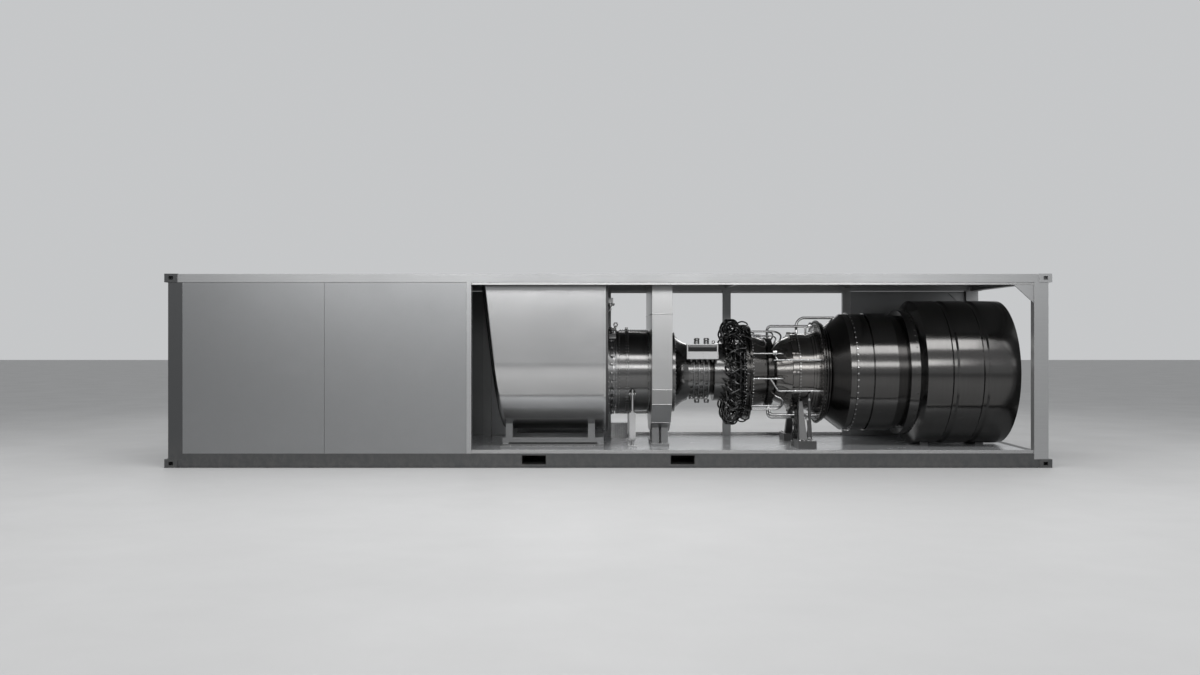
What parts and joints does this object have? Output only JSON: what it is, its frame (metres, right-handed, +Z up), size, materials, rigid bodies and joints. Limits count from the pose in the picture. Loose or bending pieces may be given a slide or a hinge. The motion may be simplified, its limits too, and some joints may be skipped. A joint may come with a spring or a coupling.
{
  "type": "gas turbine",
  "caption": "Gas turbine in a long open-sided steel carrying frame: round-bottomed inlet plenum, compressors, tubed fuel manifold, turbine casings and a wide exhaust drum.",
  "frame": {"origin": "on the ground under the middle of the frame's footprint", "axes": "+X along the engine from the air inlet to the exhaust, +Y from the open front to the back, +Z up"},
  "size_m": [12.192, 2.896, 2.667],
  "materials": {
    "dark_frame": "satin dark paint",
    "light_frame": "satin light grey paint",
    "bright_trim": "brushed",
    "panel_steel": "satin",
    "roof_sheet": "satin light grey paint",
    "deck_paint": "gloss pale paint",
    "pocket_steel": "dull dark paint",
    "plenum_steel": "polished satin",
    "plate_dark": "satin dark paint",
    "stand_paint": "satin grey paint",
    "strut_steel": "turned",
    "inlet_alloy": "machined",
    "casing_alloy": "machined",
    "control_alloy": "machined",
    "collector_steel": "satin",
    "box_metal": "anodised",
    "fuel_line": "satin black",
    "hot_alloy": "heat-tinted",
    "dark_alloy": "satin dark",
    "exhaust_steel": "satin",
    "pipe_steel": "drawn tube"
  },
  "bodies": {
    "root": {"bottom_rails": "dark_frame", "bottom_castings": "dark_frame", "left_end_posts": "dark_frame", "left_top_castings": "dark_frame", "end_sills": "dark_frame", "floor_cross_members": "dark_frame", "drum_saddles": "dark_frame", "top_rails": "light_frame", "right_end_posts": "light_frame", "right_top_castings": "light_frame", "end_headers": "light_frame", "corner_gussets": "light_frame", "back_posts": "light_frame", "front_posts": "light_frame", "roof_beams": "light_frame", "opening_lips": "bright_trim", "front_panels": "panel_steel", "back_panels": "panel_steel", "left_end_wall": "panel_steel", "roof_panel": "roof_sheet", "roof_flanges": "roof_sheet", "floor_deck": "deck_paint", "fork_pockets": "pocket_steel", "inlet_plenum": "plenum_steel", "plenum_front_plate": "plate_dark", "aft_stands": "plate_dark", "plenum_stand": "stand_paint", "front_mounts": "stand_paint", "fore_struts": "strut_steel", "inlet_bellmouth": "inlet_alloy", "inlet_hub": "inlet_alloy", "guide_vane_ring": "inlet_alloy", "front_compressor_casing": "casing_alloy", "neck_casing": "casing_alloy", "rear_compressor_casing": "casing_alloy", "combustor_front_casing": "casing_alloy", "vane_control_rings": "control_alloy", "bleed_collector": "collector_steel", "control_box": "box_metal", "sensor_boxes": "box_metal", "oil_cooler": "box_metal", "fuel_manifold": "fuel_line", "combustor_casing": "hot_alloy", "front_turbine_casing": "hot_alloy", "rear_turbine_casing": "hot_alloy", "rear_flange_rings": "hot_alloy", "turbine_mid_flange": "dark_alloy", "exhaust_cone": "dark_alloy", "exhaust_seal_ring": "dark_alloy", "exhaust_tail_cone": "dark_alloy", "exhaust_band": "exhaust_steel", "diffuser_drum": "exhaust_steel", "exhaust_collar": "exhaust_steel", "exhaust_drum": "exhaust_steel", "engine_pipes": "pipe_steel"}
  },
  "joints": []
}
